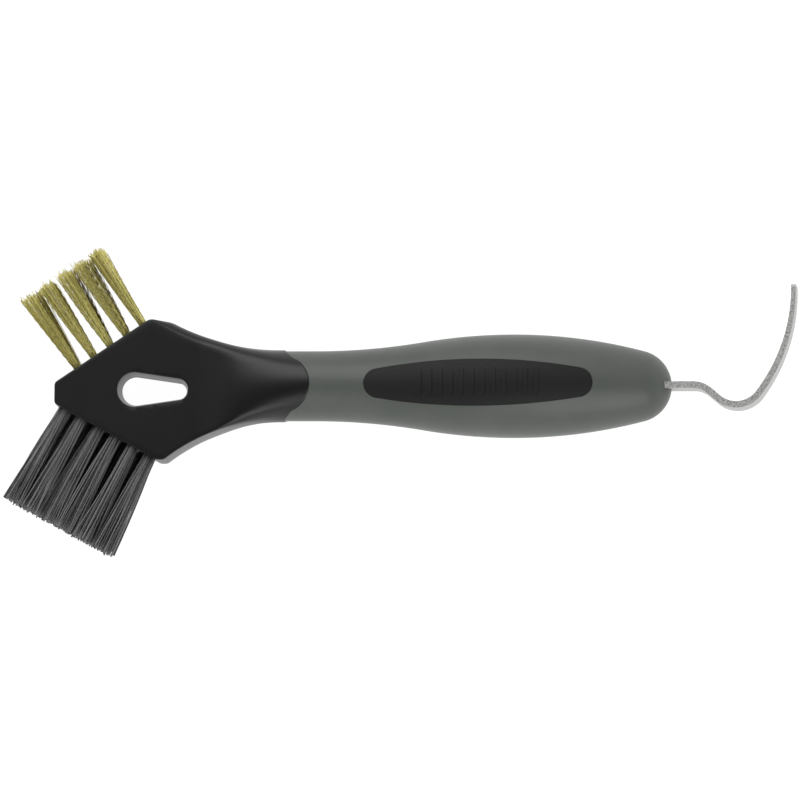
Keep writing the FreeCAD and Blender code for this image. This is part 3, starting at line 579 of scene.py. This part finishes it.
# %% Cutters for the head
BIG_X, BIG_RADIUS, SMALL_X, SMALL_RADIUS, HANG_Y = -155.9, 5.0, -143.5, 3.2, -1.55
HANG_RIM, HANG_TAPER = 0.3, 0.9
BIG_STEPS, SMALL_STEPS = 44, 30
OUTLINE = BIG_STEPS + SMALL_STEPS
OUTSIDE = 2.0
lean = math.acos((BIG_RADIUS - SMALL_RADIUS) / (SMALL_X - BIG_X))
round_big = np.linspace(lean, 2 * np.pi - lean, BIG_STEPS)
round_small = np.linspace(-lean, lean, SMALL_STEPS)


def teardrop(grow):
    """The hang hole's outline, wider by grow all round: two arcs joined by straight sides."""
    big = np.column_stack([BIG_X + (BIG_RADIUS + grow) * np.cos(round_big),
                           HANG_Y + (BIG_RADIUS + grow) * np.sin(round_big)])
    small = np.column_stack([SMALL_X + (SMALL_RADIUS + grow) * np.cos(round_small),
                             HANG_Y + (SMALL_RADIUS + grow) * np.sin(round_small)])
    return np.concatenate([big, small])


turns = np.linspace(0.0, np.pi / 2, 5)
levels = np.concatenate([[0.0], PLATE_HALF - HANG_RIM * (1 - np.sin(turns)),
                         [PLATE_HALF + OUTSIDE]])
grows = np.concatenate([[-HANG_TAPER], HANG_RIM * (1 - np.cos(turns)), [HANG_RIM]])
levels = np.concatenate([-levels[:0:-1], levels])
grows = np.concatenate([grows[:0:-1], grows])
hang_rings = np.stack([np.column_stack([teardrop(grow), np.full(OUTLINE, level)])
                       for level, grow in zip(levels, grows)])
hang_faces = ring_faces(len(hang_rings), OUTLINE).tolist()
hang_faces.append(list(range(OUTLINE))[::-1])
hang_faces.append(list(range((len(hang_rings) - 1) * OUTLINE, len(hang_rings) * OUTLINE)))

# each brush face: where it starts, its slope, the first tuft's place and the pitch, how many
# tufts each row has, how many pitches the back row is shifted, and the radius at root and tip
FACES = {
    "brass": {"corner": (TIP_X, TIP_TOP, 0.0), "way": BRASS_ANGLE, "first": 7.8, "pitch": 5.68,
              "front": 5, "back": 5, "shift": 0.0, "root": 1.15, "tip": 2.7},
    "nylon": {"corner": (TIP_X, TIP_BOTTOM, 0.0), "way": -NYLON_ANGLE, "first": 2.95,
              "pitch": 5.72, "front": 6, "back": 5, "shift": 0.5, "root": 1.75, "tip": 2.7},
}
ROW_HALF = 2.8
HOLE_DEPTH = 6.0


def face_axes(kind):
    """Unit vectors of a brush face: along the row, out of the face, and out x along."""
    way = FACES[kind]["way"]
    along = np.array([math.cos(way), math.sin(way), 0.0])
    out = np.array([-math.sin(way), math.cos(way), 0.0]) * (1 if kind == "brass" else -1)
    return along, out, np.cross(out, along)


def tuft_root(kind, row, number):
    """Where a tuft leaves the face: so many pitches along the row, in the front or back row."""
    face = FACES[kind]
    shift = face["shift"] if row == "back" else 0.0
    along = face_axes(kind)[0]
    place = np.array(face["corner"]) + along * (face["first"] + (number + shift) * face["pitch"])
    return place + np.array([0.0, 0.0, ROW_HALF if row == "front" else -ROW_HALF])


TUFTS = [(kind, row, number) for kind in FACES for row in ("front", "back")
         for number in range(FACES[kind][row])]
HOLE_SIDES = 20
SHARP_ANGLE = math.radians(38.0)
hole_turn = np.linspace(0.0, 2 * np.pi, HOLE_SIDES, endpoint=False)


def hole_rings(kind, row, number):
    """A drilled hole as two rings, one inside the head and one outside it."""
    along, out, across = face_axes(kind)
    circle = FACES[kind]["root"] * (np.cos(hole_turn)[:, None] * along
                                    + np.sin(hole_turn)[:, None] * across)
    root = tuft_root(kind, row, number)
    return np.stack([root + circle - out * HOLE_DEPTH, root + circle + out * OUTSIDE])


holes = np.stack([hole_rings(*tuft) for tuft in TUFTS])
one_hole = ring_faces(2, HOLE_SIDES).tolist()
one_hole += [list(range(HOLE_SIDES))[::-1], list(range(HOLE_SIDES, 2 * HOLE_SIDES))]
cut_points = np.concatenate([hang_rings.reshape(-1, 3), holes.reshape(-1, 3)])
first_hole = hang_rings.size // 3
cut_faces = hang_faces + [[corner + first_hole + 2 * HOLE_SIDES * number for corner in face]
                          for number in range(len(TUFTS)) for face in one_hole]
cutter = bpy.data.objects.new("head_cutter", make_mesh("head_cutter", cut_points, cut_faces))
bpy.context.scene.collection.objects.link(cutter)
blank = bpy.data.objects.new("head_blank", head_mesh)
bpy.context.scene.collection.objects.link(blank)
cut = blank.modifiers.new("holes", "BOOLEAN")
cut.object = cutter
cut.operation = "DIFFERENCE"
cut.solver = "EXACT"
graph = bpy.context.evaluated_depsgraph_get()
drilled = bpy.data.meshes.new_from_object(blank.evaluated_get(graph))
for spare in (blank, cutter):
    bpy.data.objects.remove(spare)
drilled.name = "forked_head"
drilled.shade_smooth()
drilled.set_sharp_from_angle(angle=SHARP_ANGLE)
make_piece("forked_head", drilled, black_plastic, "brush_head")
print("head:", len(drilled.polygons), "faces")

# %% [markdown]
# **Bristles.** A tuft is a bundle of wires or filaments folded in half round an anchor and
# driven into a hole. Particle hair would not be a solid that can be exported, so each strand is
# a thin prism along its own centre line. A strand starts at a random place on the root's disc
# and ends at the same place on a wider disc, with a little straying, bow and length of its own.
# Brass wire is crimped as well: a zigzag whose half wave is about 1.3 mm, turned a different way
# on each wire. The strands of the back rows, brass and nylon, are drawn darker: painted shade for
# the shadow they stand in behind the front row.


# %% Strands
HOLE_FILL, TAME_SHARE = 0.93, 0.82


def bundle(kind, row, number, count, seed, look):
    """Centre lines (strand, point, 3) of one tuft.

    point(t) = root + disc place * (1 + (flare - 1) * t ** curve) + stray * t + bow * sin(pi t)
    + crimp * zigzag(t), and the distance out of the face is t times the strand's own length.
    """
    draw = np.random.default_rng(seed)
    face = FACES[kind]
    along, out, across = face_axes(kind)
    radius = face["root"] * np.sqrt(draw.random(count)) * HOLE_FILL
    spin = draw.random(count) * 2 * np.pi
    disc = np.stack([radius * np.cos(spin), radius * np.sin(spin)], -1)
    t = np.linspace(0.0, 1.0, look["steps"] + 1)
    jog = look["crimp"] * (-1.0)**np.arange(look["steps"] + 1)
    flare = np.array([look["wide"], face["tip"]]) / face["root"]
    spread = 1 + (flare - 1) * (t[:, None]**look["curve"])
    wild = 1.0 + look["wild"] * (draw.random((count, 1)) > TAME_SHARE)
    stray = draw.normal(0.0, look["stray"], (count, 2)) * wild
    bow = draw.normal(0.0, look["bow"], (count, 2))
    crimp_way = draw.random(count) * 2 * np.pi
    length = look["length"] + draw.normal(0.0, look["ragged"], count)
    fan = look["fan"][row][number]
    flat = (disc[:, None, :] * spread[None] + stray[:, None, :] * t[None, :, None]
            + bow[:, None, :] * np.sin(np.pi * t)[None, :, None])
    flat[..., 0] += fan * t + jog * np.cos(crimp_way)[:, None]
    flat[..., 1] += jog * np.sin(crimp_way)[:, None]
    slide = (draw.random(count) - 0.5) * look["slip"] / look["steps"]
    reach = length[:, None] * np.clip(t + slide[:, None] * (t * (1 - t) * 4), 0.0, 1.0)
    reach[:, 0] = -look["set_in"]
    root = tuft_root(kind, row, number)
    lines = root + flat[..., :1] * along + flat[..., 1:] * across + reach[..., None] * out
    shade = np.clip(draw.normal(look["shade"], look["vary"], count), 0.0, 1.0)
    return lines, shade


def strand_mesh(name, lines, shade, kind, thickness, sides):
    """A closed prism round every line, and each strand's shade as an attribute of its points."""
    along, out, across = face_axes(kind)
    turn = np.linspace(0.0, 2 * np.pi, sides, endpoint=False)
    ring = thickness / 2 * (np.cos(turn)[:, None] * along + np.sin(turn)[:, None] * across)
    points = lines[:, :, None, :] + ring
    strands, rings = lines.shape[:2]
    size = rings * sides
    quads = ring_faces(rings, sides)
    starts = np.arange(strands)[:, None, None] * size
    faces = (quads[None] + starts).reshape(-1, 4).tolist()
    caps = np.stack([np.arange(sides)[::-1], np.arange(sides) + size - sides])
    faces += (caps[None] + starts).reshape(-1, sides).tolist()
    mesh = make_mesh(name, points, faces)
    mark = mesh.attributes.new("shade", "FLOAT", "POINT")
    mark.data.foreach_set("value", np.repeat(shade, size))
    return mesh


# In millimetres: crimp, the tuft's half width and depth at its tip, straying (one strand in
# about six strays more, by the factor 1 + wild), bow, raggedness, length, how deep a strand starts
# in its hole, and how far each tuft leans along its row. The curve says how early a tuft widens.
# The back rows' lower shade is painted shade for the shadow they stand in behind the front row.
LOOKS = {
    "brass": {"steps": 19, "crimp": 0.09, "wide": 2.6, "curve": 0.95, "stray": 0.16, "wild": 1.0,
              "bow": 0.10, "ragged": 0.45, "length": 25.5, "slip": 0.5, "set_in": 3.0,
              "shade": 0.58, "vary": 0.26,
              "back_row_painted_shade": 0.4, "back_wide": 2.6, "back_curve": 0.95,
              "fan": {"front": [-0.8, -0.5, 0.0, -0.2, 0.0], "back": [1.2, 0.5, 2.0, 1.2, 0.3]}},
    "nylon": {"steps": 6, "crimp": 0.0, "wide": 3.0, "curve": 0.85, "stray": 0.5, "wild": 1.8,
              "bow": 0.25, "ragged": 0.35, "length": 30.3, "slip": 0.0, "set_in": 3.0,
              "shade": 0.5, "vary": 0.3,
              "back_row_painted_shade": 0.3, "back_wide": 3.5, "back_curve": 0.55,
              "fan": {"front": [-0.2, 0.2, 0.5, 0.9, 1.3, 1.9],
                      "back": [0.0, 0.4, 0.8, 1.2, 2.4]}},
}
STRANDS = {"brass": (62, 0.24, 3), "nylon": (92, 0.36, 4)}  # how many, thickness, sides
FINISHES = {"brass": (brass_wire, "brass_wire"), "nylon": (nylon_filament, "nylon_bristle")}
SEED = 4100
total = 0
for place, (kind, row, number) in enumerate(TUFTS):
    count, thickness, sides = STRANDS[kind]
    look = dict(LOOKS[kind])
    # the back rows are drawn darker: painted shade for the shadow behind the front row
    if row == "back":
        look["shade"] -= look["back_row_painted_shade"]
        look["wide"], look["curve"] = look["back_wide"], look["back_curve"]
    lines, shade = bundle(kind, row, number, count, SEED + place, look)
    name = f"{kind}_strands_{row}_{number + 1}"
    mesh = strand_mesh(name, lines, shade, kind, thickness, sides)
    finish, slot = FINISHES[kind]
    make_piece(name, mesh, finish, f"{kind}_tuft_{row}_{number + 1}")
    total += len(mesh.polygons)
print("tufts:", len(TUFTS), "faces in all:", total)

# %% [markdown]
# The handle, the inlays, the pick and the anchors keep their CAD shapes and get their finishes.

# %% Finishes of the CAD nodes
for name, finish in {"handle": grey_plastic, "grip_inlay_front": soft_plastic,
                     "grip_inlay_back": soft_plastic, "steel_hook": zinc,
                     "brass_tuft_anchors": anchor_wire,
                     "nylon_tuft_anchors": anchor_wire}.items():
    nodes[name].data.materials.clear()
    nodes[name].data.materials.append(finish)
